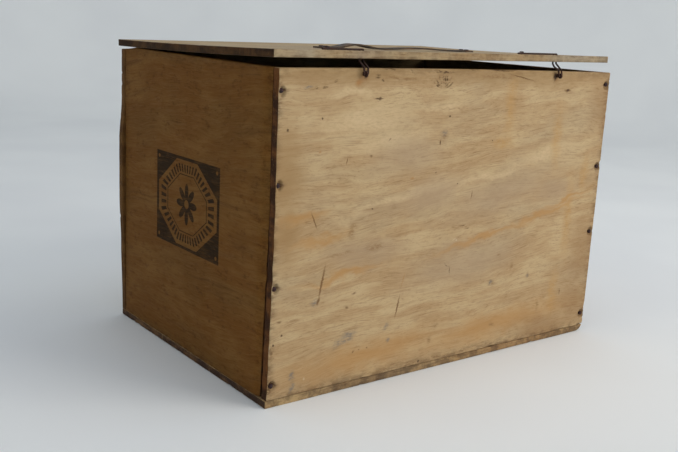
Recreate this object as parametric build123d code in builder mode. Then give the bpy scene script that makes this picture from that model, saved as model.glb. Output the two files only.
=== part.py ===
from build123d import *
from math import sqrt
import os

# Wooden box with a loose-fitting plank lid on two wire hinges, in millimetres.
# +X runs along the box, +Y from the hinge side to the opening side, +Z up.
# The origin is under the middle of everything, on the surface the box stands on.

# Box of boards
box_length = 501.0
box_depth = 346.0
box_height = 340.0  # from the ground to the rim
bottom_thickness = 8.0
side_thickness = 10.0  # the two long panels
end_thickness = 12.0  # the two end panels, which stand between the long ones
joint_gap = 0.3  # between boards that only butt against each other
bottom_board_count = 3
bottom_board_gap = 0.6
end_proud = 4.0  # how far the opening side panel stands out past the left end panel
hinge_rim_crown = 1.4  # how far the middle of a long panel's rim stands above its ends
opening_rim_crown = 4.6
left_rim_rise = 2.9  # how far the left end panel's rim climbs toward the opening side
left_rim_run = 22.0  # from its highest place back down to the corner

# Nails
nail_shank_radius = 1.0
nail_head_radius = 2.8
nail_head_height = 1.1
nail_length = 32.0
nail_fit = 0.1  # clearance round a shank or a head
nail_sunk = 0.8  # how deep a head lies in the wood
nail_inset_left = 7.0
nail_inset_right = 5.8
nail_margin = 15.0  # from the ends of a panel to its first and last nail
nail_drift_left = (0.0, 1.3, 4.0, -6.0)  # how far each hand-driven nail missed its even spacing
nail_drift_right = (1.0, 12.0, -3.0, 0.0)
bottom_nail_count = 5  # along each long edge
bottom_nail_inset = 60.0
bottom_end_spacing = 70.0  # between the two nails in each end of the middle board
bottom_nail_length = 26.0

# Lid, one thin board that has cupped and twisted
lid_length = 498.0
lid_thickness = 8.0
lid_left_overhang = 1.0
lid_setback = 3.2  # from the face of the hinge side panel
lid_overhang = 7.6  # past the face of the opening side panel
hinge_gap_left = 9.5  # from the rim to the lid's underside, at its four corners
hinge_gap_right = 11.9
opening_gap_left = 3.2
opening_gap_right = 8.0
cup_left = 1.1  # how far the middle sags below a straight edge
cup_right = 2.2

# Wire hinges: a ring on the panel and a hairpin loop through it, clinched on top of the lid
wire_radius = 1.0
wire_fit = 0.1  # running clearance between the loop's bar and the ring
wire_hole_fit = 0.15
wire_bend_fit = 0.15  # how much larger than its own radius the wire's sharpest bends are
hinge_inset_left = 103.7
hinge_inset_right = 102.0
hinge_drop = 4.5  # from the rim down to the hinge line
hinge_stand_off = 4.4  # from the panel's face out to the hinge line
loop_play = 0.5  # from the ring's wire to the loop's leg on each side of it
bar_bend_fit = 0.2  # as wire_bend_fit, at the two ends of the bar
loop_bend = 2.0  # where a hand-bent leg changes direction
loop_hole_setback = 3.0  # from the lid's edge to the first leg
loop_leg_step = 2.6  # how much further in the second leg goes through
loop_entry = 1.8  # from the last turn up to the lid
clinch_gap = 0.1
eye_leg_step = 1.05  # half the distance between the ring's two legs
eye_clinch = 13.0  # how far the ring's legs turn along the inside of the panel

# Each hinge's two legs: their bends above the bar, from the hinge line, where they go through
# the lid, along X from the ring, and how far they run along the top of the lid
legs_left = (
    (((-2.3, 0.6, 6.2),), -1.6, 46.0),
    (((2.6, 0.6, 6.2),), 5.2, 34.0),
)
legs_right = (
    (((-3.0, 0.8, 6.6), (-8.4, 4.0, 10.6)), -3.4, 62.0),
    (((2.0, 0.8, 6.6),), 5.6, 48.0),
)

# Tacks that hold the clinched legs down
clinch_tack_back = 8.0  # from the end of the longer leg
tack_head_radius = 2.6
tack_head_height = 1.2
tack_shank_radius = 0.7
tack_length = 7.0

# Leather pull strap, tacked across the middle of the lid
strap_length = 234.0
strap_width = 18.0
strap_thickness = 1.8
strap_from_hinge_side = 118.0
strap_gap = 0.15
strap_arch = 4.2  # height of the loose left half over the lid
strap_ripple = 1.8  # height of the right half
strap_tack_inset = 8.0
strap_tack_spacing = 9.0
strap_tack_head = 3.2
strap_tack_height = 1.1
strap_tack_length = 8.7

# Derived places
eye_radius = 2 * wire_radius + wire_fit  # of the ring's wire, measured to its middle
sharp_bend = wire_radius + wire_bend_fit
bar_bend = wire_radius + bar_bend_fit
loop_half_width = 2 * wire_radius + loop_play
hinge_reach = hinge_stand_off + eye_radius + wire_radius
x_left = -(box_length - end_proud) / 2
x_right = x_left + box_length
x_middle = (x_left + x_right) / 2
y_hinge = -(box_depth + lid_overhang - hinge_reach) / 2
y_opening = y_hinge + box_depth
y_middle = (y_hinge + y_opening) / 2
wall_height = box_height - bottom_thickness
end_near = y_hinge + side_thickness + joint_gap
end_far = y_opening - side_thickness - joint_gap
nail_hole_radius = nail_shank_radius + nail_fit
nail_seat_radius = nail_head_radius + nail_fit
hinge_axis_y = y_hinge - hinge_stand_off
hinge_axis_z = box_height - hinge_drop
lid_near = y_hinge + lid_setback
lid_far = y_opening + lid_overhang
lid_depth = lid_far - lid_near
lid_x_left = x_left - lid_left_overhang
lid_x_right = lid_x_left + lid_length
strap_y = y_hinge + strap_from_hinge_side
strap_x_left = (lid_x_left + lid_x_right - strap_length) / 2
strap_x_right = strap_x_left + strap_length


def nail_heights(drift):
    step = (wall_height - 2 * nail_margin) / (len(drift) - 1)
    return [bottom_thickness + nail_margin + i * step + d for i, d in enumerate(drift)]


side_nails = [(x_left + nail_inset_left, z) for z in nail_heights(nail_drift_left)]
side_nails += [(x_right - nail_inset_right, z) for z in nail_heights(nail_drift_right)]

bottom_step = (box_length - 2 * bottom_nail_inset) / (bottom_nail_count - 1)
bottom_nails_x = [x_left + bottom_nail_inset + i * bottom_step for i in range(bottom_nail_count)]
bottom_nails_xy = [
    (x, y)
    for y in (y_hinge + side_thickness / 2, y_opening - side_thickness / 2)
    for x in bottom_nails_x
]
bottom_nails_xy += [
    (x, y_middle + sign * bottom_end_spacing / 2)
    for x in (x_left + end_thickness / 2, x_right - end_thickness / 2)
    for sign in (-1, 1)
]


def lid_curve(near_gap, far_gap, cup):
    """Control heights of the parabola that an end of the lid's underside follows."""
    near = box_height + near_gap
    far = box_height + far_gap
    return near, (near + far) / 2 - 2 * cup, far


lid_end_curves = (
    lid_curve(hinge_gap_left, opening_gap_left, cup_left),
    lid_curve(hinge_gap_right, opening_gap_right, cup_right),
)


def lid_underside(x, y):
    """Height of the lid's underside, which is straight from end to end."""
    t = (y - lid_near) / lid_depth
    heights = [
        (1 - t) ** 2 * near + 2 * t * (1 - t) * middle + t**2 * far
        for near, middle, far in lid_end_curves
    ]
    along = (x - lid_x_left) / lid_length
    return heights[0] + along * (heights[1] - heights[0])


def lid_top(x, y):
    return lid_underside(x, y) + lid_thickness


hinges = {
    "left": (x_left + hinge_inset_left, legs_left),
    "right": (x_right - hinge_inset_right, legs_right),
}


def leg_place(hinge_x, legs, index):
    """Where a leg of a hinge loop goes up through the lid."""
    offset = legs[index][1]
    return hinge_x + offset, lid_near + loop_hole_setback + index * loop_leg_step


def clinch_tack_place(hinge_x, legs):
    """Beside the longer leg, past the end of the shorter one."""
    x, y = leg_place(hinge_x, legs, 0)
    length = legs[0][2]
    return x - length + clinch_tack_back, y + wire_radius + tack_shank_radius + 2 * nail_fit


leg_places = [leg_place(*hinge, index) for hinge in hinges.values() for index in range(2)]
clinch_tacks_xy = [clinch_tack_place(*hinge) for hinge in hinges.values()]
strap_tacks_xy = [
    (x, strap_y + sign * strap_tack_spacing / 2)
    for x in (strap_x_left + strap_tack_inset, strap_x_right - strap_tack_inset)
    for sign in (-1, 1)
]

os.makedirs("parts", exist_ok=True)


def finish(name, piece):
    piece.label = name
    export_step(piece, f"parts/{name}.step")


# Bottom: boards laid side by side under the walls, nailed from below
bottom_width = (box_depth - (bottom_board_count - 1) * bottom_board_gap) / bottom_board_count
for index in range(bottom_board_count):
    board_y = y_hinge + bottom_width / 2 + index * (bottom_width + bottom_board_gap)
    board_nails = [(x, y) for x, y in bottom_nails_xy if abs(y - board_y) < bottom_width / 2]
    with BuildPart() as bottom_board:
        with BuildSketch():
            with Locations((x_middle, board_y)):
                Rectangle(box_length, bottom_width)
        extrude(amount=bottom_thickness)
        with BuildSketch():
            with Locations(*board_nails):
                Circle(nail_hole_radius)
        extrude(amount=bottom_thickness, mode=Mode.SUBTRACT)
        with BuildSketch():
            with Locations(*board_nails):
                Circle(nail_seat_radius)
        extrude(amount=nail_head_height + 2 * nail_fit, mode=Mode.SUBTRACT)
    finish(f"bottom_board_{index + 1}", bottom_board.part)

# Long panels: they cover the edges of the end panels. The outward sign is along Y.
bottom_nail_reach = nail_fit + bottom_nail_length
panels = {
    "hinge_side_panel": (y_hinge, 1, x_left, hinge_rim_crown),
    "opening_side_panel": (y_opening, -1, x_left - end_proud, opening_rim_crown),
}
for name, (face_y, inward, panel_left, crown) in panels.items():
    outer = Plane.XZ.offset(-face_y)
    rim_left = (panel_left, box_height)
    rim_right = (x_right, box_height)
    edge_nails = [p for p in bottom_nails_xy if abs(p[1] - face_y) < side_thickness]
    with BuildPart() as panel:
        with BuildSketch(outer):
            with BuildLine():
                Polyline(rim_left, (panel_left, bottom_thickness), (x_right, bottom_thickness), rim_right)
                ThreePointArc(rim_right, ((panel_left + x_right) / 2, box_height + crown), rim_left)
            make_face()
        extrude(amount=-inward * side_thickness)
        with BuildSketch(outer):
            with Locations(*side_nails):
                Circle(nail_hole_radius)
        extrude(amount=-inward * side_thickness, mode=Mode.SUBTRACT)
        with BuildSketch(outer):
            with Locations(*side_nails):
                Circle(nail_seat_radius)
        extrude(amount=-inward * (nail_sunk + nail_fit), mode=Mode.SUBTRACT)
        with BuildSketch(Plane.XY.offset(bottom_thickness)):
            with Locations(*edge_nails):
                Circle(nail_hole_radius)
        extrude(amount=bottom_nail_reach - bottom_thickness + nail_fit, mode=Mode.SUBTRACT)
        if name == "hinge_side_panel":
            eye_slots = [(hinge_x, hinge_axis_z) for hinge_x, _ in hinges.values()]
            with BuildSketch(outer):
                with Locations(*eye_slots):
                    SlotCenterToCenter(2 * eye_leg_step, 2 * (wire_radius + wire_hole_fit), rotation=90)
            extrude(amount=-inward * side_thickness, mode=Mode.SUBTRACT)
    finish(name, panel.part)

# End panels: they stand between the long ones and take their nails in the edges
side_nail_reach = nail_length + nail_fit
ends = {"left_end_panel": (x_left, 1, left_rim_rise), "right_end_panel": (x_right, -1, 0.0)}
for name, (face_x, inward, rise) in ends.items():
    outline = [
        (end_near, bottom_thickness),
        (end_near, box_height),
        (end_far - left_rim_run, box_height + rise),
        (end_far, box_height),
        (end_far, bottom_thickness),
    ]
    column_nails = [p for p in side_nails if abs(p[0] - face_x) < end_thickness]
    edge_nails = [p for p in bottom_nails_xy if abs(p[0] - face_x) < end_thickness]
    with BuildPart() as panel:
        with BuildSketch(Plane.YZ.offset(face_x)):
            with BuildLine():
                Polyline(*outline, close=True)
            make_face()
        extrude(amount=inward * end_thickness)
        for face_y, direction in ((y_hinge, -1), (y_opening, 1)):
            with BuildSketch(Plane.XZ.offset(-face_y)):
                with Locations(*column_nails):
                    Circle(nail_hole_radius)
            extrude(amount=direction * side_nail_reach, mode=Mode.SUBTRACT)
        with BuildSketch(Plane.XY.offset(bottom_thickness)):
            with Locations(*edge_nails):
                Circle(nail_hole_radius)
        extrude(amount=bottom_nail_reach - bottom_thickness + nail_fit, mode=Mode.SUBTRACT)
    finish(name, panel.part)

# Nails in the long panels, with their heads just sunk below the face
for name, face_y, inward in (("hinge_side_nails", y_hinge, 1), ("opening_side_nails", y_opening, -1)):
    head_seat = Plane.XZ.offset(-(face_y + inward * nail_sunk))
    with BuildPart() as nails:
        with BuildSketch(head_seat):
            with Locations(*side_nails):
                Circle(nail_head_radius)
        extrude(amount=inward * nail_head_height)
        fillet(nails.edges().filter_by(GeomType.CIRCLE).group_by(Axis.Y)[0 if inward > 0 else -1], 0.5)
        with BuildSketch(head_seat):
            with Locations(*side_nails):
                Circle(nail_shank_radius)
        extrude(amount=-inward * (nail_length - nail_sunk))
    finish(name, nails.part)

# Nails in the bottom, with flat heads let in just above the ground
with BuildPart() as bottom_nails:
    with BuildSketch(Plane.XY.offset(nail_fit)):
        with Locations(*bottom_nails_xy):
            Circle(nail_head_radius)
    extrude(amount=nail_head_height)
    with BuildSketch(Plane.XY.offset(nail_fit)):
        with Locations(*bottom_nails_xy):
            Circle(nail_shank_radius)
    extrude(amount=bottom_nail_length)
finish("bottom_nails", bottom_nails.part)

# Lower half of each hinge: a wire ring outside the panel, its legs clinched inside
inner_y = y_hinge + side_thickness + wire_radius + clinch_gap
leg_start_y = hinge_axis_y + sqrt(eye_radius**2 - eye_leg_step**2)
for side, (hinge_x, _) in hinges.items():
    with BuildPart() as lower_eye:
        with Locations(Location((hinge_x, hinge_axis_y, hinge_axis_z), (0, 90, 0))):
            Torus(eye_radius, wire_radius)
        for sign in (-1, 1):
            leg_z = hinge_axis_z + sign * eye_leg_step
            with BuildLine():
                FilletPolyline(
                    (hinge_x, leg_start_y, leg_z),
                    (hinge_x, inner_y, leg_z),
                    (hinge_x - sign * eye_clinch, inner_y, leg_z),
                    radius=sharp_bend,
                )
            with BuildSketch(Plane.XZ.offset(-leg_start_y)):
                with Locations((hinge_x, leg_z)):
                    Circle(wire_radius)
            sweep()
    finish(f"{side}_lower_eye", lower_eye.part)

# Lid board: its two ends are parabolas, joined by straight lines along its length
with BuildPart() as lid_board:
    for end_x, (near, middle, far) in zip((lid_x_left, lid_x_right), lid_end_curves):
        with BuildSketch(Plane.YZ.offset(end_x)):
            with BuildLine():
                Bezier((lid_near, near), ((lid_near + lid_far) / 2, middle), (lid_far, far))
                Line((lid_far, far), (lid_far, far + lid_thickness))
                Bezier(
                    (lid_far, far + lid_thickness),
                    ((lid_near + lid_far) / 2, middle + lid_thickness),
                    (lid_near, near + lid_thickness),
                )
                Line((lid_near, near + lid_thickness), (lid_near, near))
            make_face()
    loft(ruled=True)
    with BuildSketch(Plane.XY.offset(box_height)):
        with Locations(*leg_places):
            Circle(wire_radius + wire_hole_fit)
        with Locations(*clinch_tacks_xy):
            Circle(tack_shank_radius + nail_fit)
        with Locations(*strap_tacks_xy):
            Circle(tack_shank_radius + nail_fit)
    extrude(amount=4 * lid_thickness, mode=Mode.SUBTRACT)
finish("lid_board", lid_board.part)


def leg_route(hinge_x, legs, index):
    """Corners of a loop's leg, from the bar to its clinched end on top of the lid."""
    bends, _, length = legs[index]
    x, y = leg_place(hinge_x, legs, index)
    end_x = x - length
    on_top = wire_radius + clinch_gap
    bar_end = hinge_x + (loop_half_width if index else -loop_half_width)
    return [
        (bar_end, hinge_axis_y, hinge_axis_z),
        *[(hinge_x + bx, hinge_axis_y + by, hinge_axis_z + bz) for bx, by, bz in bends],
        (x, y, lid_underside(x, y) - loop_entry),
        (x, y, lid_top(x, y) + on_top),
        (end_x, y, lid_top(end_x, y) + on_top),
    ]


# Upper half of each hinge: one wire from clinched end to clinched end, round the ring's hole
for side, hinge in hinges.items():
    first = leg_route(*hinge, 0)
    second = leg_route(*hinge, 1)
    start = first[-1]
    radii = [sharp_bend] + [loop_bend] * (len(first) - 3) + [bar_bend] * 2
    radii += [loop_bend] * (len(second) - 3) + [sharp_bend]
    with BuildPart() as upper_loop:
        with BuildLine() as route:
            FilletPolyline(*reversed(first), *second, radius=radii)
        with BuildSketch(Plane(origin=start, z_dir=route.line @ 0.001 - Vector(*start))):
            Circle(wire_radius)
        sweep()
    finish(f"{side}_upper_loop", upper_loop.part)

# Tacks beside the clinched legs, with a head that laps over the outer one
with BuildPart() as clinch_tacks:
    for x, y in clinch_tacks_xy:
        head_z = lid_top(x, y) + 2 * wire_radius + 2 * clinch_gap
        with BuildSketch(Plane.XY.offset(head_z)):
            with Locations((x, y)):
                Circle(tack_head_radius)
        extrude(amount=tack_head_height, taper=20)
        with BuildSketch(Plane.XY.offset(head_z)):
            with Locations((x, y)):
                Circle(tack_shank_radius)
        extrude(amount=-tack_length)
finish("clinch_tacks", clinch_tacks.part)

# Pull strap: its left half arches loose, its right half lies low
strap_near_y = strap_y - strap_width / 2
strap_tab = 2 * strap_tack_inset / strap_length
strap_rises = (
    (0.0, 0.0),
    (strap_tab, 0.0),
    (0.2, strap_arch),
    (0.34, 0.15 * strap_arch),
    (0.44, 0.1 * strap_arch),
    (0.65, strap_ripple),
    (1 - strap_tab, 0.0),
    (1.0, 0.0),
)


def strap_point(share, rise):
    x = strap_x_left + share * strap_length
    return x, lid_top(x, strap_near_y) + strap_gap + rise


strap_under = [strap_point(share, rise) for share, rise in strap_rises]
strap_over = [(x, z + strap_thickness) for x, z in strap_under]
with BuildPart() as pull_strap:
    with BuildSketch(Plane.XZ.offset(-strap_near_y)):
        with BuildLine():
            for edge in (strap_under, strap_over):
                Line(edge[0], edge[1])
                Spline(*edge[1:-1], tangents=((1, 0), (1, 0)))
                Line(edge[-2], edge[-1])
            Line(strap_under[0], strap_over[0])
            Line(strap_under[-1], strap_over[-1])
        make_face()
    extrude(amount=-strap_width)
    with BuildSketch(Plane.XY.offset(box_height)):
        with Locations(*strap_tacks_xy):
            Circle(tack_shank_radius + nail_fit)
    extrude(amount=4 * lid_thickness, mode=Mode.SUBTRACT)
finish("pull_strap", pull_strap.part)

# Round-headed tacks through the strap into the lid
with BuildPart() as strap_tacks:
    for x, y in strap_tacks_xy:
        head_z = lid_top(x, strap_near_y) + 2 * strap_gap + strap_thickness
        with BuildSketch(Plane.XY.offset(head_z)):
            with Locations((x, y)):
                Circle(strap_tack_head)
        extrude(amount=strap_tack_height, taper=35)
        with BuildSketch(Plane.XY.offset(head_z)):
            with Locations((x, y)):
                Circle(tack_shank_radius)
        extrude(amount=-strap_tack_length)
finish("strap_tacks", strap_tacks.part)

print("hinge line at y, z:", round(hinge_axis_y, 3), round(hinge_axis_z, 3))
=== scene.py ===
import math

import bmesh
import bpy
import numpy as np
from mathutils import Matrix, Vector, noise


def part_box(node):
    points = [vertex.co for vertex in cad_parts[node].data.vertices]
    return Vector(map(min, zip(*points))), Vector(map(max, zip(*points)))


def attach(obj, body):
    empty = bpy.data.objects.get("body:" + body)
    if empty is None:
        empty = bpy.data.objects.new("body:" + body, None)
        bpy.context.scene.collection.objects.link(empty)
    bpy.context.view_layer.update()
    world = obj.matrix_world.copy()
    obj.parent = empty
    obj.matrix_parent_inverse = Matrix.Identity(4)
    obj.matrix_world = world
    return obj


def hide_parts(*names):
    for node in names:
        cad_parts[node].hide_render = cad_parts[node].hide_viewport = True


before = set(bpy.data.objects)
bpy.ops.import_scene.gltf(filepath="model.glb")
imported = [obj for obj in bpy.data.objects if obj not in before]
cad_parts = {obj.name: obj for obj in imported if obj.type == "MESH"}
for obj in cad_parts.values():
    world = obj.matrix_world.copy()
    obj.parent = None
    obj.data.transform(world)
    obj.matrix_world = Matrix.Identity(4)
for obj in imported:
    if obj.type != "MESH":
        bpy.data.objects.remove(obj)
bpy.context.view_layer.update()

# An old nailed goods box of thin bare boards, with a loose plank lid on two rusted wire hinges.
# Everything is in metres. The hinge side looks along -Y, the printed end along -X.
mm = 0.001
print("frame loaded:", len(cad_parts), "nodes")


def toLinear(hexColour, alpha=1.0):
    channels = [int(hexColour[i : i + 2], 16) / 255 for i in (1, 3, 5)]
    return tuple(c / 12.92 if c <= 0.04045 else ((c + 0.055) / 1.055) ** 2.4 for c in channels) + (alpha,)


def addNode(tree, kind, inputs=None, **settings):
    # one shader node, with its settings and its links or values by socket name or number
    node = tree.nodes.new("ShaderNode" + kind)
    for name, value in settings.items():
        setattr(node, name, value)
    for name, value in (inputs or {}).items():
        if isinstance(value, bpy.types.NodeSocket):
            tree.links.new(value, node.inputs[name])
        else:
            node.inputs[name].default_value = value
    return node


def calc(tree, operation, a, b=0.0, clamp=False):
    return addNode(tree, "Math", {0: a, 1: b}, operation=operation, use_clamp=clamp).outputs[0]


def both(tree, a, b):
    return calc(tree, "MULTIPLY", a, b)


def blendColour(tree, share, a, b):
    return addNode(tree, "Mix", {0: share, 6: a, 7: b}, data_type="RGBA").outputs[2]


def remap(tree, value, low, high, newLow=0.0, newHigh=1.0):
    # eased from newLow to newHigh as the value goes from low to high
    ends = {0: value, 1: low, 2: high, 3: newLow, 4: newHigh}
    return addNode(tree, "MapRange", ends, interpolation_type="SMOOTHSTEP").outputs[0]


def freshMaterial(name):
    material = bpy.data.materials.new(name)
    material.use_nodes = True
    tree = material.node_tree
    return material, tree, tree.nodes["Principled BSDF"]


def surface(tree, shader, colour, roughness, height=None, depth=0.2 * mm, strength=0.6):
    # wires the finished colour, roughness and relief into the shader
    tree.links.new(colour, shader.inputs["Base Color"])
    if isinstance(roughness, bpy.types.NodeSocket):
        tree.links.new(roughness, shader.inputs["Roughness"])
    else:
        shader.inputs["Roughness"].default_value = roughness
    if height is not None:
        bump = addNode(tree, "Bump", {"Height": height, "Distance": depth, "Strength": strength})
        tree.links.new(bump.outputs[0], shader.inputs["Normal"])


def stretched(tree, place, scale, turn=(0, 0, 0), shift=(0, 0, 0)):
    ends = {"Vector": place, "Scale": scale, "Rotation": [math.radians(a) for a in turn], "Location": shift}
    return addNode(tree, "Mapping", ends).outputs[0]


def objectPlace(tree, turn=(0, 0, 0)):
    # where a point of the object is, in millimetres
    return stretched(tree, addNode(tree, "TexCoord").outputs["Object"], (1000, 1000, 1000), turn)


def noiseNode(tree, place, sizes, detail, rough, seed):
    # fractal noise whose patches are sizes mm long in each direction
    vector = stretched(tree, place, [1 / s for s in sizes], shift=(seed, 0.37 * seed, 0.71 * seed))
    return addNode(tree, "TexNoise", {"Vector": vector, "Scale": 1.0, "Detail": detail, "Roughness": rough})


def noiseAt(tree, place, sizes, detail=2.0, rough=0.5, seed=0.0):
    return noiseNode(tree, place, sizes, detail, rough, seed).outputs["Fac"]


def nudged(tree, place, sizes, reach, seed):
    # pushes a place about with smooth noise, by up to half of reach mm each way
    push = noiseNode(tree, place, sizes, 3.0, 0.55, seed).outputs["Color"]
    push = addNode(tree, "VectorMath", {0: push, 1: (0.5, 0.5, 0.5)}, operation="SUBTRACT").outputs[0]
    push = addNode(tree, "VectorMath", {0: push, "Scale": reach}, operation="SCALE").outputs[0]
    return addNode(tree, "VectorMath", {0: place, 1: push}, operation="ADD").outputs[0]


def spots(tree, place, marks, soft):
    # mask of ellipses lying in the board's face: each is (x, z, half length, half height, turn) in mm
    total = 0.0
    for x, z, halfLong, halfHigh, turn in marks:
        ends = {"Vector": place, "Location": (x, 0, z), "Rotation": (0, math.radians(-turn), 0),
            "Scale": (halfLong, 1e6, halfHigh)}
        inside = addNode(tree, "Mapping", ends, vector_type="TEXTURE").outputs[0]
        ball = addNode(tree, "TexGradient", {"Vector": inside}, gradient_type="SPHERICAL").outputs[1]
        total = calc(tree, "MAXIMUM", ball, total)
    return remap(tree, total, 0.0, soft)


# How long each pattern's patches are, in mm along X, Y and Z of the turned board
patches = dict(bow=(230, 120, 80), ripple=(45, 30, 9), fibre=(34, 1.8, 1.4), fine=(6, 0.9, 0.9),
    streak=(190, 60, 13), cloud=(75, 60, 34), mottle=(11, 11, 6), damp=(130, 120, 60), dirt=(12, 12, 5),
    stub=(2.2, 2.4, 3.2), saw=(30, 1.3, 24), band=(30, 30, 16))


# Sawn and hand-planed softwood, bare for a century: cloudy straw and tan, fine short fibres that catch the
# light, and greyer where water lay.
def grain(tree, place, look):
    seed = look["seed"]
    tilted = stretched(tree, place, (1, 1, 1), (look["tilt"], look["slope"], 0))
    bent = nudged(tree, tilted, patches["bow"], look["wander"], seed)
    bent = nudged(tree, bent, patches["ripple"], look["ripple"], seed + 3)
    fibre = noiseAt(tree, bent, patches["fibre"], 5.0, 0.68, seed + 7)
    fine = noiseAt(tree, bent, patches["fine"], 3.0, 0.65, seed + 11)
    streak = noiseAt(tree, bent, patches["streak"], 4.0, 0.6, seed + 17)
    cloud = noiseAt(tree, place, patches["cloud"], 4.0, 0.6, seed + 23)
    mottle = noiseAt(tree, place, patches["mottle"], 3.0, 0.6, seed + 41)
    pale = calc(tree, "ADD", both(tree, streak, 0.55), both(tree, cloud, 0.45))
    colour = blendColour(tree, remap(tree, pale, 0.42, 0.6), look["tan"], look["straw"])
    damp = noiseAt(tree, place, patches["damp"], 3.0, 0.6, seed + 29)
    for pattern, low, high, strength, shade in ((damp, 0.46, 0.68, "greyness", "grey"),
            (streak, 0.52, 0.7, "streaks", "late"), (mottle, 0.54, 0.74, "streaks", "late"),
            (fibre, 0.5, 0.74, "fibres", "late"), (fibre, 0.48, 0.3, "fibres", "straw"),
            (fine, 0.54, 0.78, "fibres", "late")):
        share = remap(tree, pattern, low, high, 0, look[strength])
        colour = blendColour(tree, share, colour, look[shade])
    height = calc(tree, "ADD", both(tree, fibre, 1.1), both(tree, fine, 0.6))
    height = calc(tree, "ADD", height, both(tree, streak, 0.8))
    return colour, height, fibre, bent


def worn(tree, place, colour, look):
    # edges handled dark, with dirt that fades in over a few millimetres
    wear = addNode(tree, "Attribute", attribute_name="wear").outputs["Fac"]
    rough = noiseAt(tree, place, patches["dirt"], 4.0, 0.65, look["seed"] + 31)
    share = both(tree, wear, remap(tree, rough, 0.38, 0.62, 0.05, 1.0))
    return blendColour(tree, both(tree, share, look["edgeDirt"]), colour, look["dirt"])


def shades(**hexColours):
    return {name: toLinear(value) for name, value in hexColours.items()}


# Turns in degrees, lengths in mm, and how strongly each pattern shows from 0 to 1
panelLook = dict(seed=4.0, tilt=1.5, slope=3.5, wander=42.0, ripple=2.4, sheen=0.25, streaks=0.24,
    fibres=0.62, greyness=0.4, edgeDirt=0.55,
    **shades(straw="#c6ac83", tan="#b4956c", late="#83613d", grey="#ab9677", dirt="#50351b"))
# The end boards' colours are far darker than the sides' to stand in for the shade on the printed end: painted
# shade, kept in every look and material made from this one.
shadedEndLook = dict(panelLook, seed=21.0, sheen=0.06, slope=-4.0, wander=40.0, streaks=0.6, fibres=0.5,
    greyness=0.3, edgeDirt=0.3,
    **shades(straw="#805b2d", tan="#714a1f", late="#533113", grey="#674d27", dirt="#29190a"))
lidLook = dict(panelLook, seed=37.0, slope=0.6, wander=20.0, edgeDirt=0.5, greyness=0.7,
    **shades(straw="#b9a47f", tan="#a58963", late="#735535", grey="#a49782", dirt="#472f16"))
bottomLook = dict(panelLook, seed=55.0, slope=0.4, wander=14.0, streaks=0.6, fibres=0.6, edgeDirt=0.6,
    **shades(straw="#bea173", tan="#a27f54", late="#6b4d30", grey="#a29277", dirt="#3e2b1f"))


def boardFace(name, look, turn=(0, 0, 0), extra=None):
    # turn brings the grain along X, the board's thickness along Y and its width along Z
    material, tree, shader = freshMaterial(name)
    place = objectPlace(tree, turn)
    colour, height, fibre, bent = grain(tree, place, look)
    colour = worn(tree, place, colour, look)
    if extra:
        colour, height = extra(tree, place, bent, colour, height)
    roughness = remap(tree, fibre, 0.3, 0.7, 0.6, 0.76)
    shader.inputs["Specular IOR Level"].default_value = look["sheen"]  # dry open grain, hardly any gloss
    surface(tree, shader, colour, roughness, height, 0.25 * mm, 0.8)
    return material


def endGrain(name, look, turn=(0, 0, 0), frayed=0.6):
    # cut across the fibres: dark and dusty, with short rough stubs, saw marks and paler frayed tips
    material, tree, shader = freshMaterial(name)
    place = objectPlace(tree, turn)
    stub = noiseAt(tree, place, patches["stub"], 4.0, 0.7, look["seed"] + 2)
    saw = noiseAt(tree, place, patches["saw"], 3.0, 0.6, look["seed"] + 5)
    band = noiseAt(tree, place, patches["band"], 3.0, 0.6, look["seed"] + 9)
    colour = blendColour(tree, remap(tree, band, 0.38, 0.62), look["dirt"], look["late"])
    colour = blendColour(tree, remap(tree, stub, 0.56, 0.8, 0, frayed), colour, look["grey"])
    colour = blendColour(tree, remap(tree, saw, 0.5, 0.7, 0, 0.7), colour, look["dirt"])
    height = calc(tree, "ADD", stub, both(tree, saw, 0.8))
    shader.inputs["Specular IOR Level"].default_value = 0.2
    surface(tree, shader, colour, 0.85, height, 0.6 * mm, 0.9)
    return material


def rustedIron(name, scale, bloom, dust, bloomShare):
    # mild steel left to rust: nearly black scale under brown bloom, rough and hardly metallic any more
    material, tree, shader = freshMaterial(name)
    place = objectPlace(tree)
    clumps = noiseAt(tree, place, (2.2, 2.2, 2.2), 4.0, 0.6, 3)
    pits = noiseAt(tree, place, (0.6, 0.6, 0.6), 3.0, 0.6, 8)
    share = remap(tree, clumps, 0.4, 0.62, 0, bloomShare)
    colour = blendColour(tree, share, toLinear(scale), toLinear(bloom))
    colour = blendColour(tree, remap(tree, pits, 0.58, 0.78, 0, 0.6), colour, toLinear(dust))
    shader.inputs["Metallic"].default_value = 0.15
    height = calc(tree, "ADD", clumps, both(tree, pits, 0.7))
    surface(tree, shader, colour, remap(tree, clumps, 0.35, 0.65, 0.62, 0.9), height, 0.35 * mm, 0.9)
    return material


poreSpacing = 0.9  # mm between the grain's pebbles


def driedLeather():
    # vegetable-tanned strap leather, dried dark, creased across and rubbed paler in patches
    material, tree, shader = freshMaterial("dried strap leather")
    place = objectPlace(tree)
    pores = {"Vector": place, "Scale": 1 / poreSpacing}
    pebble = addNode(tree, "TexVoronoi", pores, feature="DISTANCE_TO_EDGE").outputs[0]
    crease = noiseAt(tree, place, (1.6, 14, 3), 3.0, 0.6, 5)
    rub = noiseAt(tree, place, (18, 9, 9), 3.0, 0.6, 9)
    colour = blendColour(tree, remap(tree, rub, 0.4, 0.7), toLinear("#3a2e22"), toLinear("#6a4e33"))
    colour = blendColour(tree, remap(tree, crease, 0.58, 0.75, 0, 0.6), colour, toLinear("#17110c"))
    height = calc(tree, "SUBTRACT", remap(tree, pebble, 0.0, 0.12), both(tree, crease, 1.5))
    surface(tree, shader, colour, remap(tree, rub, 0.3, 0.7, 0.5, 0.7), height, 0.2 * mm, 0.6)
    return material


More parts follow.
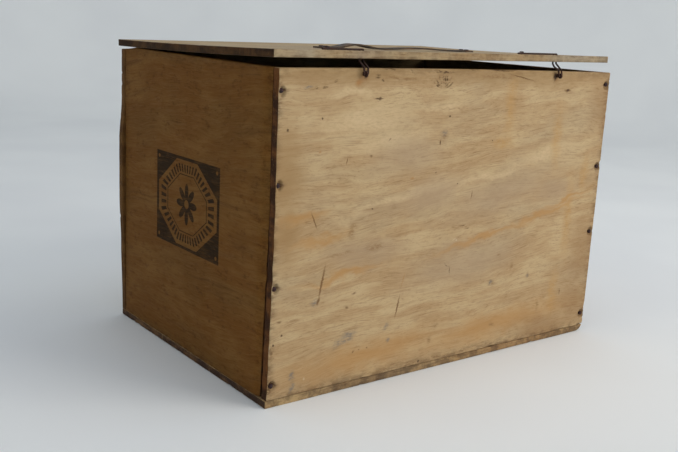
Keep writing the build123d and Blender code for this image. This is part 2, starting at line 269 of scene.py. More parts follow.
edgeLines = [e * mm for e in (0.5, 1.2, 2.2, 3.6, 5.5, 8.0)]  # grid lines beside every edge
dentLines = [k * 0.9 * mm for k in range(-7, 8)]  # and round every nail
closest = 0.25 * mm


def steps(low, high, pitch, dents=()):
    # grid lines from low to high, closer together by the edges and the dents
    count = max(1, round((high - low) / pitch))
    lines = {low + (high - low) * i / count for i in range(count + 1)}
    for e in edgeLines:
        if e < (high - low) / 2:
            lines.update((low + e, high - e))
    lines.update(place + k for place in dents for k in dentLines)
    kept = [low]
    for value in sorted(lines):
        if kept[-1] + closest < value < high - closest:
            kept.append(value)
    return kept + [high]


def gridBox(low, high, pitches, dents):
    # closed box surface with its own lines along X, Y and Z: its points, quads and the side of each quad
    lines = [steps(low[a], high[a], pitches[a], dents[a]) for a in range(3)]
    index, points, quads, sides = {}, [], [], []

    def point(key):
        if key not in index:
            index[key] = len(points)
            points.append([lines[a][key[a]] for a in range(3)])
        return index[key]

    for axis in range(3):
        u, v = [a for a in range(3) if a != axis]
        for end in (0, 1):
            layer = (len(lines[axis]) - 1) * end
            for a in range(len(lines[u]) - 1):
                for b in range(len(lines[v]) - 1):
                    ring = [(a, b), (a + 1, b), (a + 1, b + 1), (a, b + 1)]
                    if (end == 1) == (axis == 1):
                        ring.reverse()
                    corners = []
                    for p, q in ring:
                        key = [layer] * 3
                        key[u], key[v] = p, q
                        corners.append(point(tuple(key)))
                    quads.append(corners)
                    sides.append(2 * axis + end)
    return np.array(points), quads, sides


def noises(points, sizes, seed):
    # smooth noise from -1 to 1 at every point, with patches sizes metres long
    offset = Vector((seed, seed * 0.7, seed * 1.3))
    return np.array([noise.noise(Vector([p[a] / sizes[a] for a in range(3)]) + offset) for p in points])


def smoothRise(value, low, high):
    t = np.clip((value - low) / (high - low), 0, 1)
    return t * t * (3 - 2 * t)


def roundedOver(points, low, high, radius):
    # the box's edges rounded to a radius that may differ from point to point
    low, high = np.array(low), np.array(high)
    radius = np.minimum(radius, (high - low).min() * 0.49)[:, None]
    core = np.clip(points, low + radius, high - radius)
    away = points - core
    length = np.linalg.norm(away, axis=1, keepdims=True)
    moved = core + away / np.where(length == 0, 1, length) * radius
    return np.where(length > 0, moved, points)


dentReach, dentDepth, wearReach = 6.5 * mm, 0.6 * mm, 14 * mm
# patches of worn edge and of the faces' waves, across and along the grain, and where the edges chip
edgeWear = dict(patch=30 * mm, patchAlong=60 * mm, uneven=0.7, chipSize=0.22, chipFrom=0.28, chipGain=3.0)
faceWave = dict(patch=50 * mm, patchAlong=160 * mm)


def makePiece(name, mesh, node, body):
    piece = bpy.data.objects.new(name, mesh)
    bpy.context.collection.objects.link(piece)
    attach(piece, body)
    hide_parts(node)
    return piece


def boardPiece(name, node, body, materials, look):
    # one board from its CAD box: worn and chipped edges, a slightly wavy face and dents round its nails
    low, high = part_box(node)
    nailSpots = look.get("nails", [])
    dents = [[p[a] for p in nailSpots] for a in (0, 1, 2)]
    dents[look["thin"]] = []
    points, quads, sides = gridBox(low, high, look["pitch"], dents)
    flat = points.copy()
    patch = [edgeWear["patch"]] * 3
    patch[look["grain"]] = edgeWear["patchAlong"]
    radius = look["round"] * (1.0 + edgeWear["uneven"] * noises(points, patch, look["seed"]))
    chips = noises(points, [size * edgeWear["chipSize"] for size in patch], look["seed"] + 9)
    radius += look["chips"] * np.clip(chips - edgeWear["chipFrom"], 0, 1) * edgeWear["chipGain"]
    points = roundedOver(points, low, high, radius)
    thin = look["thin"]
    side = np.sign(flat[:, thin] - (low[thin] + high[thin]) / 2)
    waves = [faceWave["patch"]] * 3
    waves[look["grain"]] = faceWave["patchAlong"]
    points[:, thin] += side * look["wave"] * (noises(flat, waves, look["seed"] + 4) - 1) / 2
    for spot in nailSpots:
        gap = np.linalg.norm(flat - np.array(spot), axis=1)
        points[:, thin] -= side * dentDepth * (1 - smoothRise(gap, dentReach * 0.5, dentReach))
    for shape in look.get("shapes", []):
        points = shape(points, flat)
    mesh = bpy.data.meshes.new(name)
    mesh.from_pydata(points.tolist(), [], quads)
    for material in materials:
        mesh.materials.append(material)
    faces = [look["faces"][side] for side in sides]
    # the dark end colour on this strip is painted shade, for the corner beside the end board
    if "stripEnd" in look:  # the strip of inner face that shows beside the end board is as dark as the end
        for number, (side, quad) in enumerate(zip(sides, quads)):
            if side == 2 and flat[quad[0]][0] < look["stripEnd"]:
                faces[number] = 1
    mesh.polygons.foreach_set("material_index", faces)
    mesh.polygons.foreach_set("use_smooth", [True] * len(quads))
    # wear is 1 at the board's edges and fades out over wearReach
    gaps = np.sort(np.minimum(flat - np.array(low), np.array(high) - flat), axis=1)
    wear = mesh.attributes.new("wear", "FLOAT", "POINT")
    wear.data.foreach_set("value", 1 - smoothRise(gaps[:, 1], 0, wearReach))
    mesh.update()
    return makePiece(name, mesh, node, body)


def solidBoxes(node):
    # lowest and highest corner of each separate solid in a CAD node
    mesh = bmesh.new()
    mesh.from_mesh(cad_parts[node].data)
    seen, boxes = set(), []
    for start in mesh.verts:
        if start.index in seen:
            continue
        stack, found = [start], []
        seen.add(start.index)
        while stack:
            vertex = stack.pop()
            found.append(vertex.co.copy())
            for edge in vertex.link_edges:
                other = edge.other_vert(vertex)
                if other.index not in seen:
                    seen.add(other.index)
                    stack.append(other)
        lows = Vector([min(c[a] for c in found) for a in range(3)])
        highs = Vector([max(c[a] for c in found) for a in range(3)])
        boxes.append((lows, highs))
    mesh.free()
    return boxes


def heightAt(node, x, y, fromAbove=True):
    # where a plumb line meets a CAD node, coming from above or from below
    side = 1.0 if fromAbove else -1.0
    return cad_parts[node].ray_cast(Vector((x, y, side)), Vector((0, 0, -side)))[1].z


hingeLow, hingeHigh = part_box("hinge_side_panel")
openLow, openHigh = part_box("opening_side_panel")
leftLow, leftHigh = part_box("left_end_panel")
lidLow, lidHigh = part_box("lid_board")
boxLeft, boxRight = hingeLow.x, hingeHigh.x
hingeNails = solidBoxes("hinge_side_nails")
openNails = solidBoxes("opening_side_nails")
nailXZ = [((a.x + b.x) / 2, (a.z + b.z) / 2) for a, b in hingeNails]
eyes = [(a + b) / 2 for a, b in (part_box("left_lower_eye"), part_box("right_lower_eye"))]
print("measured the frame:", len(hingeNails), "nails on the hinge side")

# A burst of fine dark hairs under the rim, spreading upward from one place
burst = dict(x=215, z=319, reach=10.5, halfLong=8.5, halfWide=1.7, turns=(32, 52, 70, 84, 97, 116, 138, 150))
hairs = [(burst["x"] + burst["reach"] * math.cos(math.radians(turn)),
    burst["z"] + burst["reach"] * math.sin(math.radians(turn)), burst["halfLong"], burst["halfWide"], turn)
    for turn in burst["turns"]]

# Marks on the hinge side, laid over each other in this order. Places are mm from its lower left corner on
# the ground, as (x, z, half length, half height, turn); ragged is how far their outlines wander, and broken
# is how much the wood shows through in specks.
faceTints = [
    dict(hex="#a08055", share=0.7, soft=0.8, ragged=26, marks=[(90, 340, 170, 26, 0),
        (330, 342, 260, 30, 0)]),
    dict(hex="#a07e52", share=0.75, soft=0.9, ragged=18, marks=[(14, 235, 38, 75, 0),
        (18, 180, 26, 50, 0)]),
    dict(hex="#d2b88f", share=0.78, soft=1.0, ragged=24, broken=0.4, marks=[(110, 288, 120, 24, 2),
        (150, 268, 110, 14, 8), (390, 243, 80, 18, 8), (300, 222, 130, 7, 10), (170, 205, 120, 8, 12),
        (95, 318, 60, 10, 0), (215, 300, 60, 8, 4), (60, 120, 40, 5, 4)]),
    dict(hex="#ab9275", share=0.6, soft=1.0, ragged=22, marks=[(170, 250, 80, 32, 6),
        (210, 208, 80, 30, 10), (330, 200, 150, 38, 10), (415, 195, 70, 30, 0), (120, 150, 90, 26, 0),
        (270, 120, 140, 40, 5)]),
    dict(hex="#b58851", share=0.75, soft=1.0, ragged=22, marks=[(130, 34, 170, 28, 4),
        (330, 38, 200, 24, 3), (60, 168, 60, 8, 8), (40, 195, 50, 8, 6), (400, 168, 130, 7, 12),
        (300, 150, 120, 6, 11), (440, 184, 70, 5, 14), (90, 128, 80, 6, 6)]),
    dict(hex="#bb8f52", share=0.55, soft=1.0, ragged=13, broken=0.5, marks=[(323, 300, 13, 60, 0),
        (314, 258, 27, 13, 0), (410, 262, 14, 56, 0), (446, 160, 13, 80, 2), (432, 60, 14, 50, 0),
        (470, 215, 12, 40, 0)]),
    dict(hex="#936d44", share=0.55, soft=1.0, ragged=22, marks=[(485, 110, 60, 80, 0), (480, 40, 60, 50, 0),
        (500, 300, 50, 60, 0), (410, 24, 90, 24, 0)]),
    dict(hex="#836039", share=0.62, soft=1.0, ragged=12, broken=0.75, marks=[(133, 155, 17, 8, 0),
        (101, 175, 9, 14, 0), (262, 165, 26, 4, 6), (316, 90, 8, 6, 0), (349, 107, 6, 6, 0),
        (326, 123, 5, 4, 0), (381, 91, 4, 4, 0), (228, 52, 6, 5, 0), (222, 34, 5, 5, 0), (323, 36, 7, 5, 0),
        (405, 48, 5, 12, 0), (222, 270, 10, 9, 0), (160, 330, 46, 3, -4), (232, 300, 40, 2, 0),
        (85, 152, 30, 3, 4), (300, 335, 60, 4, 0), (215, 331, 22, 12, 0), (5, 26, 15, 9, 0)]),
    dict(hex="#7d756b", share=0.8, soft=0.9, ragged=9, broken=0.7, marks=[(97, 57, 24, 6.5, 24),
        (104, 61, 10, 4, 0), (32, 29, 5, 10, 0), (31, 16, 4.5, 7, 0), (154, 62, 4, 5, 0),
        (159, 46.5, 3.5, 4.5, 0), (39, 323, 8, 2.6, 12), (55, 103, 8, 5, 10), (316, 91, 6, 4.5, 0),
        (381, 91, 4, 3, 0), (222, 271, 6, 6, 0)]),
    dict(hex="#4d3315", share=0.9, soft=0.8, ragged=4, broken=0.85, marks=hairs + [(213, 338.5, 24, 2.0, 0),
        (123, 333, 5, 3.0, 0), (130, 329, 3, 2.0, 0), (170, 337.5, 6, 1.6, -30), (58, 322, 5, 1.6, 10),
        (47, 322, 3, 1.6, 0), (245, 115, 1.4, 6, 10), (240, 121, 6, 1.2, -30), (70, 328, 4, 1.6, 30),
        (6, 25, 8, 4, 10), (4, 18, 5, 5, 0), (303, 341, 24, 2.2, -2), (70, 340, 8, 1.5, 0),
        (140, 340.5, 14, 1.4, 0), (260, 341, 9, 1.4, 0)]),
    dict(hex="#74512c", share=0.85, soft=0.8, ragged=2.5, marks=[(64.5, 124, 25, 2.0, 79),
        (61, 105, 6, 2.6, 70), (169, 83, 17, 1.8, 78), (51.5, 190, 13, 1.0, -66), (271, 200, 7, 0.9, 80),
        (338, 333, 30, 0.9, -10), (445.5, 61, 6, 1.1, 88), (88.8, 248, 5, 1.0, 80),
        (216, 262.5, 5, 1.3, 85), (421, 318, 9, 2.6, 0)]),
    dict(hex="#a8723a", share=0.6, soft=0.9, ragged=2.5, marks=[(179, 225, 4.4, 2.4, 0),
        (55, 259, 3, 1.6, 0), (2, 254, 3, 4, 0), (175, 112, 12, 0.9, 76), (99, 327, 7, 5, 30)]),
    dict(hex="#462c19", share=0.85, soft=0.7, ragged=2, marks=[(126, 310.6, 8, 1.3, 0),
        (127.5, 310.6, 3, 2.6, 0), (55.8, 291.9, 1.5, 1.5, 0), (15.9, 281.5, 1.8, 2.0, 20),
        (17.1, 75.3, 1.7, 1.7, 0), (7.8, 66.6, 1.7, 1.9, 0), (227.4, 290.5, 1.6, 1.6, 0),
        (297.4, 261.5, 1.2, 1.2, 0), (212.7, 229.7, 1.1, 1.1, 0), (125.5, 196, 1.5, 1.2, 0),
        (246.9, 215, 1.1, 1.0, 0), (206.5, 12, 1.8, 2, 0), (421, 318, 3.0, 2.0, 0),
        (216, 262, 1.2, 2.6, 0)]),
    dict(hex="#694a2b", share=0.7, soft=0.9, ragged=3, marks=[(107.5, 107, 4, 1.6, 20),
        (98.8, 92.4, 2.8, 2.2, 0), (110, 41, 2.4, 1.8, 0), (118, 42, 2, 1.6, 0), (129, 42, 2, 1.6, 0),
        (14, 90, 4, 1.8, 0), (6, 58, 3, 3, 0), (144, 268, 3, 1.2, 40), (260, 166, 8, 1.2, 4),
        (268, 162, 6, 1.0, 0), (120, 252, 3, 2, 0)]),
    dict(hex="#d2bfa1", share=0.6, soft=0.9, ragged=3, marks=[(47.3, 23.1, 2.0, 2.0, 0),
        (249, 151, 4.4, 1.0, 35), (252, 149, 1.6, 1.6, 0), (2.5, 63, 1.6, 9, 0), (2.5, 136, 2.2, 8, 0),
        (2.5, 148, 1.4, 5, 0), (56, 106, 4, 0.8, 10), (3, 300, 1.2, 14, 0), (3, 210, 1.2, 22, 0)]),
]
holeTints = (faceTints[10], faceTints[12])  # the scratches and the pinholes go into the surface
# Rust run into the wood round each nail and ring, and painted shadow inside each ring: its offset, then its
# half sizes, in mm
nailStains = (dict(size=(3.0, 0.0, 9.5, 2.8), soft=1.0, share=0.45, hex="#7a5236"),
    dict(size=(1.2, 0.2, 5.4, 2.4), soft=0.6, share=0.8, hex="#4a2a24"))
# At each ring: a rust halo, then a nearly black patch that is painted shadow for the dark inside the wire
# loop
wireRustAndShadow = (dict(size=(1.6, -2.6, 8.0, 8.0), soft=1.0, share=0.55, hex="#8a5a2e"),
    dict(size=(3.2, -0.6, 4.2, 6.2), soft=0.7, share=0.92, hex="#2f1a10"))
holeDepth = 1.6  # beside the relief of the fibres


def offsets(places, size):
    # the stains, and the painted shadow in each ring, run from each nail or ring toward the middle of the
    # board
    dx, dz, halfLong, halfHigh = size
    return [((x - boxLeft) / mm + math.copysign(dx, -x), z / mm + dz, halfLong, halfHigh, 0)
        for x, z in places]


def faceMarking(tree, place, bent, colour, height):
    # stains, holes and scratches where the hinge side has them, and painted shadow inside the hinge wire
    # rings
    here = stretched(tree, place, (1, 1, 1), shift=(-boxLeft / mm, 0, 0))
    specks = noiseAt(tree, here, (5, 3, 2.2), 4.0, 0.7, 51)
    for number, tint in enumerate(faceTints):
        wander = tint["ragged"]
        sizes = (1.4 * wander + 2, 9, 0.8 * wander + 1.2)
        mask = spots(tree, nudged(tree, here, sizes, wander * 1.3, 61 + number), tint["marks"], tint["soft"])
        if "broken" in tint:
            mask = both(tree, mask, remap(tree, specks, 0.42, 0.56, 1 - tint["broken"], 1.0))
        colour = blendColour(tree, both(tree, mask, tint["share"]), colour, toLinear(tint["hex"]))
    crumbled = nudged(tree, here, (4, 4, 2.4), 5.0, 67)
    wires = [(eye.x, eye.z) for eye in eyes]
    # rust round the nails and rings, then the painted shadow inside each ring
    for places, stainsAndShadow in ((nailXZ, nailStains), (wires, wireRustAndShadow)):
        for stainOrShadow in stainsAndShadow:
            mask = spots(tree, crumbled, offsets(places, stainOrShadow["size"]), stainOrShadow["soft"])
            colour = blendColour(tree, both(tree, mask, stainOrShadow["share"]), colour, toLinear(stainOrShadow["hex"]))
    holes = spots(tree, here, [mark for tint in holeTints for mark in tint["marks"]], 0.6)
    return colour, calc(tree, "SUBTRACT", height, both(tree, holes, holeDepth))


# Sizes and places in mm, the middle's from the hinge side's face and the ground. window, ticks and ring are
# shares of the block's half size.
printLook = dict(wide=148.0, high=106.0, middle=(173.0, 178.0), ink="#171209", cover=0.88, slant=0.74,
    window=0.93, ticks=(0.66, 0.83), tickCount=44.0, ring=(0.60, 0.62), petalCount=8, petal=15.0, heart=9.0,
    eye=(4.6, 5.4), dots=(0.91, 0.87), dot=(1.8, 2.5), edge=0.012, blockEdge=0.985)


def printedMark(tree, place, bent, colour, height):
    # a plain printed ornament: a dark block with an eight-sided window, a ring of ticks and a rosette
    split = addNode(tree, "SeparateXYZ", {0: place})
    across = calc(tree, "SUBTRACT", split.outputs[0], hingeLow.y / mm + printLook["middle"][0])
    up = calc(tree, "SUBTRACT", split.outputs[2], printLook["middle"][1])
    u = calc(tree, "ABSOLUTE", calc(tree, "DIVIDE", across, printLook["wide"] / 2))
    v = calc(tree, "ABSOLUTE", calc(tree, "DIVIDE", up, printLook["high"] / 2))
    square = calc(tree, "MAXIMUM", u, v)
    eight = calc(tree, "MAXIMUM", square, both(tree, calc(tree, "ADD", u, v), printLook["slant"]))
    edge, window = printLook["edge"], printLook["window"]

    def band(inner, outer):
        return both(tree, remap(tree, eight, outer + edge, outer), remap(tree, eight, inner, inner + edge))

    block = remap(tree, square, 1.0, printLook["blockEdge"])
    ink = calc(tree, "SUBTRACT", block, remap(tree, eight, window, window - edge), True)
    angle = calc(tree, "ARCTAN2", up, across)
    teeth = calc(tree, "SINE", both(tree, angle, printLook["tickCount"]))
    ticks = both(tree, remap(tree, teeth, -0.2, 0.1), band(*printLook["ticks"]))
    distance = calc(tree, "SQRT", calc(tree, "ADD", both(tree, across, across), both(tree, up, up)))
    petal = calc(tree, "ABSOLUTE", calc(tree, "COSINE", both(tree, angle, printLook["petalCount"] / 2)))
    reach = calc(tree, "ADD", both(tree, petal, printLook["petal"]), printLook["heart"])
    rosette = remap(tree, calc(tree, "SUBTRACT", reach, distance), 0.0, 0.8)
    rosette = both(tree, rosette, remap(tree, distance, *printLook["eye"]))
    dotU = both(tree, calc(tree, "SUBTRACT", u, printLook["dots"][0]), printLook["wide"] / 2)
    dotV = both(tree, calc(tree, "SUBTRACT", v, printLook["dots"][1]), printLook["high"] / 2)
    dots = calc(tree, "SQRT", calc(tree, "ADD", both(tree, dotU, dotU), both(tree, dotV, dotV)))
    ink = both(tree, ink, remap(tree, dots, *printLook["dot"]))
    for part in (ticks, rosette, band(*printLook["ring"])):
        ink = calc(tree, "MAXIMUM", ink, part)
    rub = noiseAt(tree, place, (30, 30, 12), 4.0, 0.65, 83)
    threads = noiseAt(tree, bent, (26, 2, 1.3), 3.0, 0.6, 89)
    cover = both(tree, remap(tree, rub, 0.2, 0.55, 0.6, 1.0), remap(tree, threads, 0.3, 0.5, 0.7, 1.0))
    share = both(tree, both(tree, ink, cover), printLook["cover"])
    return blendColour(tree, share, colour, toLinear(printLook["ink"])), height


alongY, faceUp = (0, 0, -90), (90, 0, 0)
hingeFace = boardFace("planed softwood, hinge side", panelLook, extra=faceMarking)
plainFace = boardFace("planed softwood, plain", dict(panelLook, seed=9.0))
insideFace = boardFace("sawn softwood, inside", dict(panelLook, seed=13.0, greyness=0.7, streaks=0.5,
    **shades(straw="#9a8158", tan="#80663f", late="#563b20", grey="#827660")))
# The hinge side's sawn ends: dark browns that are painted shade, for the end grain on the shaded side of the
# box.
nearEnd = endGrain("sawn end of a long board in painted shade", dict(shadedEndLook,
    **shades(late="#6b411c", dirt="#3a210d", grey="#9c7b52")))
farEnd = endGrain("sawn end of a long board", dict(shadedEndLook, seed=24.0,
    **shades(late="#6d4c26", dirt="#573a1a", grey="#7a6038")), frayed=0.3)
printedFace = boardFace("planed softwood, printed end", shadedEndLook, alongY, printedMark)
endFace = boardFace("planed softwood, plain end", dict(shadedEndLook, seed=29.0), alongY)
endEdge = endGrain("sawn end of an end board", dict(shadedEndLook, seed=31.0), alongY)
bottomFace = boardFace("rough sawn bottom board", bottomLook, faceUp)
bottomEnd = endGrain("sawn end of a bottom board", bottomLook)
lidFace = boardFace("weathered lid board", lidLook, faceUp)
lidEnd = endGrain("sawn end of the lid", dict(lidLook,
    **shades(dirt="#311f0e", late="#523619", grey="#7d5f3a")))
nailIron = rustedIron("rusted nail iron", "#241517", "#47292a", "#5f4640", 0.9)
wireIron = rustedIron("rusted hinge wire", "#26140d", "#482617", "#6b4228", 0.9)
leather = driedLeather()
print("materials made:", len(bpy.data.materials))


# Shapes that wear has given the boards. Depths are metres.
cornerWear = dict(radius=13 * mm, low=0.5 * mm)
nearCorner = dict(top=3.6 * mm, middle=4.4 * mm, bottom=1.6 * mm, wobble=0.9 * mm, run=12 * mm)
proudEnd = dict(out=4 * mm, run=14 * mm, half=100 * mm, full=160 * mm, fall=225 * mm, thin=285 * mm,
    atTop=0.1, wavy=0.12, waves=30 * mm)
rimStep = dict(high=1.5 * mm, start=8 * mm, full=22 * mm, fall=50 * mm, end=150 * mm)  # stands up at its left
endGap = dict(most=2.2 * mm, top=0.22, full=0.07, run=20 * mm)
rimSplit = dict(start=279 * mm, end=326 * mm, deep=1.6 * mm, run=3 * mm)
rimFloor = 0.25  # only the wood above this height follows the rim's line


def roundCorner(points, flat):
    # the lower right corner of the box has worn round: the square corner is squeezed into a quarter circle
    radius = cornerWear["radius"]
    dx, dz = boxRight - points[:, 0], points[:, 2] - cornerWear["low"]
    awayX, awayZ = np.clip(radius - dx, 0, None), np.clip(radius - dz, 0, None)
    length = np.hypot(awayX, awayZ)
    share = np.where(length > 0, np.maximum(awayX, awayZ) / np.where(length == 0, 1, length), 1.0)
    points[:, 0] = np.where(awayX > 0, boxRight - radius + awayX * share, points[:, 0])
    points[:, 2] = np.where(awayZ > 0, cornerWear["low"] + radius - awayZ * share, points[:, 2])
    return points


def rimLine(node, axis):
    # a shape that brings a board's top edge to the line of the CAD board's rim
    low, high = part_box(node)
    middle = (low + high) / 2
    places = np.linspace(low[axis] + 4 * mm, high[axis] - 4 * mm, 17)
    heights = [heightAt(node, *((p, middle.y) if axis == 0 else (middle.x, p))) for p in places]

    def follow(points, flat):
        drop = high.z - np.interp(flat[:, axis], places, heights)
        points[:, 2] -= drop * smoothRise(flat[:, 2], rimFloor, high.z)
        return points

    return follow


def cornerRecess(z):
    # how far the hinge side's left end has worn back at a height
    heights, outs = (0, hingeHigh.z / 2, hingeHigh.z), [nearCorner[k] for k in ("bottom", "middle", "top")]
    line = np.interp(z, heights, outs)
    height = np.stack([z * 0, z * 0, z], axis=1)
    return line + nearCorner["wobble"] * noises(height, [14 * mm] * 3, 3.0)


def hingeShape(points, flat):
    share = smoothRise(-flat[:, 0], -(boxLeft + nearCorner["run"]), -boxLeft)
    points[:, 0] += cornerRecess(flat[:, 2]) * share
    along = flat[:, 0] - boxLeft
    split = smoothRise(along, rimSplit["start"], rimSplit["start"] + 8 * rimSplit["run"])
    split *= 1 - smoothRise(along, rimSplit["end"] - rimSplit["run"], rimSplit["end"])
    outside = 1 - smoothRise(flat[:, 1], hingeLow.y, (hingeLow.y + hingeHigh.y) / 2)
    atRim = smoothRise(flat[:, 2], hingeHigh.z - 4 * mm, hingeHigh.z)
    points[:, 2] -= rimSplit["deep"] * split * outside * atRim
    return points


def openShape(points, flat):
    # the left end stands proud in a wavy worn line, deepest half way up
    z = flat[:, 2]
    half, full = proudEnd["half"], proudEnd["full"]
    out = (smoothRise(z, 0.0, half) + smoothRise(z, half, full)) / 2
    out *= 1 - (1 - proudEnd["atTop"]) * smoothRise(z, proudEnd["fall"], proudEnd["thin"])
    out *= 1 + proudEnd["wavy"] * noises(flat, (1, 1, proudEnd["waves"]), 5.0)
    share = np.clip(1 - (flat[:, 0] - openLow.x) / proudEnd["run"], 0, 1)
    points[:, 0] += (1 - np.clip(out, 0, 1)) * proudEnd["out"] * share
    along = flat[:, 0] - leftLow.x
    rise = smoothRise(along, rimStep["start"], rimStep["full"])
    rise *= 1 - smoothRise(along, rimStep["fall"], rimStep["end"])
    points[:, 2] += rimStep["high"] * rise * smoothRise(z, rimFloor, openHigh.z)
    return points


def leftShape(points, flat):
    # the end board is worn back to meet the hinge side's end, and has shrunk from it in its lower half
    share = smoothRise(-flat[:, 1], -(leftLow.y + nearCorner["run"]), -leftLow.y)
    outer = 1 - smoothRise(flat[:, 0], leftLow.x, leftHigh.x)
    points[:, 0] += cornerRecess(flat[:, 2]) * share * outer
    shrunk = endGap["most"] * (1 - smoothRise(flat[:, 2], endGap["full"], endGap["top"]))
    points[:, 1] += shrunk * np.clip(1 - (flat[:, 1] - leftLow.y) / endGap["run"], 0, 1)
    return points


# sides of a board are numbered -X, +X, -Y, +Y, -Z, +Z; faces gives the material of each
longBoard = dict(pitch=[p * mm for p in (4.5, 3.4, 4.0)], grain=0, thin=1, round=1.1 * mm, chips=1.8 * mm,
    wave=0.35 * mm)
endBoard = dict(longBoard, grain=1, thin=0, pitch=[p * mm for p in (3.4, 4.5, 4.0)])
bottomBoard = dict(longBoard, thin=2, chips=3.0 * mm, pitch=[p * mm for p in (4.0, 5.0, 2.7)])
boardPiece("hinge_side_board", "hinge_side_panel", "box",
    [hingeFace, nearEnd, insideFace], dict(
    longBoard, seed=2.0, faces=(1, 1, 0, 2, 0, 0), nails=[(x, hingeLow.y, z) for x, z in nailXZ],
    shapes=[rimLine("hinge_side_panel", 0), hingeShape, roundCorner]))
boardPiece("opening_side_board", "opening_side_panel", "box",
    [plainFace, farEnd, insideFace], dict(
    longBoard, seed=6.0, faces=(1, 1, 2, 0, 0, 0), stripEnd=leftLow.x + 3 * mm,
    nails=[(x, openHigh.y, z) for x, z in nailXZ], shapes=[rimLine("opening_side_panel", 0), openShape]))
boardPiece("printed_end_board", "left_end_panel", "box", [printedFace, endEdge, insideFace], dict(
    endBoard, seed=11.0, faces=(0, 2, 1, 1, 0, 0), shapes=[rimLine("left_end_panel", 1), leftShape]))
boardPiece("plain_end_board", "right_end_panel", "box", [endFace, endEdge, insideFace], dict(
    endBoard, seed=15.0, faces=(2, 0, 1, 1, 0, 0)))
for number in (1, 2, 3):
    look = dict(bottomBoard, seed=20.0 + number, faces=(1, 1, 0, 0, 0, 0), shapes=[roundCorner])
    materials = [bottomFace, bottomEnd]
    boardPiece(f"floor_board_{number}", f"bottom_board_{number}", "box", materials, look)
print("box boards made")


# The lid: its underside is a parabola across at each end, with straight lines between the ends
lidInset = 4.2 * mm  # clear of the hinge wires' holes
sampleX = (lidLow.x + lidInset, lidHigh.x - lidInset)
sampleY = (lidLow.y + lidInset, (lidLow.y + lidHigh.y) / 2, lidHigh.y - lidInset)
lidHeights = [[heightAt("lid_board", x, y, False) for y in sampleY] for x in sampleX]
lidThick = heightAt("lid_board", sampleX[0], sampleY[1]) - lidHeights[0][1]


def lidUnder(x, y):
    ends = []
    for heights in lidHeights:
        total = 0.0
        for i, height in enumerate(heights):
            term = height
            for j in range(3):
                if j != i:
                    term = term * (y - sampleY[j]) / (sampleY[i] - sampleY[j])
            total = total + term
        ends.append(total)
    return ends[0] + (ends[1] - ends[0]) * (x - sampleX[0]) / (sampleX[1] - sampleX[0])


def lidShape(points, flat):
    height = (points[:, 2] - lidLow.z) / (lidHigh.z - lidLow.z) * lidThick
    points[:, 2] = lidUnder(points[:, 0], points[:, 1]) + height
    return points


lidPitch = [5 * mm, 5 * mm, (lidHigh.z - lidLow.z) / 4]
boardPiece("lid_plank", "lid_board", "lid", [lidFace, lidEnd], dict(
    longBoard, thin=2, seed=41.0, pitch=lidPitch, faces=(1, 1, 0, 0, 0, 0), shapes=[lidShape]))
print("lid made, thickness", round(lidThick / mm, 2), "mm")


# A cut nail with a hammered head: its outline from the middle of the head out, as shares of radius and height
nailLook = dict(radius=2.8 * mm, height=1.1 * mm, shank=1.0 * mm, around=18, lumps=0.3,
    outline=[(0, -0.25), (0.45, -0.1), (0.78, -0.2), (0.97, -0.45), (1.0, -0.75), (0.9, -1.0), (0.4, -1.0)])


def hammeredNails(name, node, outward, boxes, seed):
    mesh = bmesh.new()
    turn = outward.to_track_quat("Z", "Y").to_matrix()
    around = nailLook["around"]
    angles = [2 * math.pi * k / around for k in range(around)]
    for number, (low, high) in enumerate(boxes):
        tip = (low + high) / 2
        tip.y = high.y if outward.y > 0 else low.y
        deep = high.y - low.y
        rows = []
        for ring, (share, drop) in enumerate(nailLook["outline"]):
            row = []
            for a in angles if share else angles[:1]:
                spot = Vector((math.cos(a) * 1.7 + number * 3 + seed, math.sin(a) * 1.7, ring * 0.3))
                lump = noise.noise(spot)
                r = nailLook["radius"] * share * (1 - nailLook["lumps"] * (1 - lump) / 2)
                dz = nailLook["height"] * (drop - (nailLook["lumps"] * (1 + lump) if drop > -0.9 else 0))
                row.append(mesh.verts.new(tip + turn @ Vector((math.cos(a) * r, math.sin(a) * r, dz))))
            rows.append(row)
        shank, under = nailLook["shank"], nailLook["height"] + 0.2 * mm
        for depth, size in ((-under, shank), (-deep * 0.85, shank * 0.9), (-deep, shank * 0.2)):
            rows.append([mesh.verts.new(tip + turn @ Vector((math.cos(a) * size, math.sin(a) * size, depth)))
                for a in angles])
        for first, second in zip(rows, rows[1:]):
            for k in range(around):
                n = (k + 1) % around
                fan = (first[0],) if len(first) == 1 else (first[n], first[k])
                mesh.faces.new((*fan, second[k], second[n]))
        mesh.faces.new(rows[-1][::-1])
    bmesh.ops.recalc_face_normals(mesh, faces=mesh.faces)
    data = bpy.data.meshes.new(name)
    mesh.to_mesh(data)
    mesh.free()
    data.materials.append(nailIron)
    data.polygons.foreach_set("use_smooth", [True] * len(data.polygons))
    return makePiece(name, data, node, "box")


hammeredNails("hinge_side_hammered_nails", "hinge_side_nails", Vector((0, -1, 0)), hingeNails, 1.0)
hammeredNails("opening_side_hammered_nails", "opening_side_nails", Vector((0, 1, 0)), openNails, 50.0)
finishes = {"bottom_nails": nailIron, "clinch_tacks": nailIron, "strap_tacks": nailIron,
    "pull_strap": leather, "left_lower_eye": wireIron, "right_lower_eye": wireIron,
    "left_upper_loop": wireIron, "right_upper_loop": wireIron}
for node, material in finishes.items():
    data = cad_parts[node].data
    data.materials.clear()
    data.materials.append(material)
print("ironwork made")


studio = dict(floor="#f2f5f6", cloud="#eceff1", radius=3.2, height=2.4, bend=0.8, rings=(0.4, 0.9, 1.5),
    around=72, bendSteps=8, world="#e6ebee", ambient=0.48)
lamps = dict(
    window_light=dict(place=(1.7, -2.2, 1.6), target=(0, 0, 0.15), size=1.8, power=38.0, hex="#fff6ea"),
    high_fill=dict(place=(0.3, -0.4, 2.6), target=(0, 0, 0), size=2.0, power=14.0, hex="#eef3ff"))


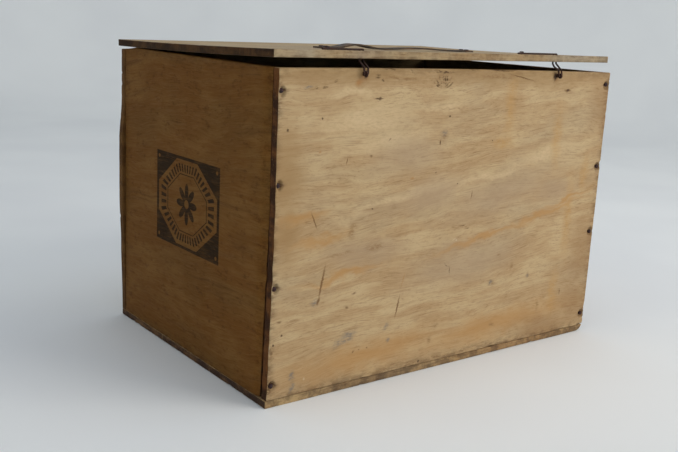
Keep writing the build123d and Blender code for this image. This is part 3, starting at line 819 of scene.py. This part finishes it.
def paleCove():
    # painted studio floor that curves up into a wall all round
    flat, bend = studio["radius"] - studio["bend"], studio["bend"]
    profile = [(r, 0.0) for r in (*studio["rings"], flat)]
    quarter = [math.pi / 2 * (k + 1) / studio["bendSteps"] for k in range(studio["bendSteps"])]
    profile += [(flat + bend * math.sin(a), bend * (1 - math.cos(a))) for a in quarter]
    profile.append((studio["radius"], studio["height"]))
    around = [2 * math.pi * k / studio["around"] for k in range(studio["around"])]
    mesh = bmesh.new()
    rows = [[mesh.verts.new((r * math.cos(a), r * math.sin(a), z)) for a in around] for r, z in profile]
    mesh.faces.new(rows[0])
    for first, second in zip(rows, rows[1:]):
        for k in range(len(around)):
            n = (k + 1) % len(around)
            mesh.faces.new((first[k], second[k], second[n], first[n]))
    data = bpy.data.meshes.new("studio_cove")
    mesh.to_mesh(data)
    mesh.free()
    data.polygons.foreach_set("use_smooth", [True] * len(data.polygons))
    material, tree, shader = freshMaterial("matt studio paint")
    cloud = noiseAt(tree, objectPlace(tree), (400, 400, 400), 2.0, 0.5, 2)
    share = remap(tree, cloud, 0.3, 0.7)
    colour = blendColour(tree, share, toLinear(studio["floor"]), toLinear(studio["cloud"]))
    surface(tree, shader, colour, 0.9)
    data.materials.append(material)
    cove = bpy.data.objects.new("studio_cove", data)
    bpy.context.collection.objects.link(cove)


def softBox(name, look):
    data = bpy.data.lights.new(name, "AREA")
    data.shape, data.size, data.energy = "SQUARE", look["size"], look["power"]
    data.color = toLinear(look["hex"])[:3]
    lamp = bpy.data.objects.new(name, data)
    lamp.location = look["place"]
    lamp.rotation_euler = (Vector(look["target"]) - Vector(look["place"])).to_track_quat("-Z", "Y").to_euler()
    bpy.context.collection.objects.link(lamp)


paleCove()
for name, look in lamps.items():
    softBox(name, look)
world = bpy.data.worlds.new("pale room")
world.use_nodes = True
world.node_tree.nodes["Background"].inputs[0].default_value = toLinear(studio["world"])
world.node_tree.nodes["Background"].inputs[1].default_value = studio["ambient"]
bpy.context.scene.world = world
bpy.context.scene.view_settings.view_transform = "Standard"

# the camera stands off the corner between the hinge side and the printed end; fromCorner is from its foot
shot = dict(fromCorner=(-0.4632, -0.7096, 0.3823), heading=37.575, pitch=-12.611, roll=2.925, lens=47.81,
    sensor=36.0)


def makeCamera():
    heading, pitch, roll = (math.radians(shot[k]) for k in ("heading", "pitch", "roll"))
    level = math.cos(pitch)
    forward = Vector((math.sin(heading) * level, math.cos(heading) * level, math.sin(pitch)))
    level = Vector((math.cos(heading), -math.sin(heading), 0))
    right = level * math.cos(roll) + level.cross(forward) * math.sin(roll)
    turn = Matrix((right, right.cross(forward), -forward)).transposed()
    data = bpy.data.cameras.new("camera")
    data.lens, data.sensor_width = shot["lens"], shot["sensor"]
    camera = bpy.data.objects.new("camera", data)
    place = Vector((boxLeft, hingeLow.y, 0)) + Vector(shot["fromCorner"])
    camera.matrix_world = Matrix.Translation(place) @ turn.to_4x4()
    bpy.context.collection.objects.link(camera)
    bpy.context.scene.camera = camera


makeCamera()
print("studio and camera set")
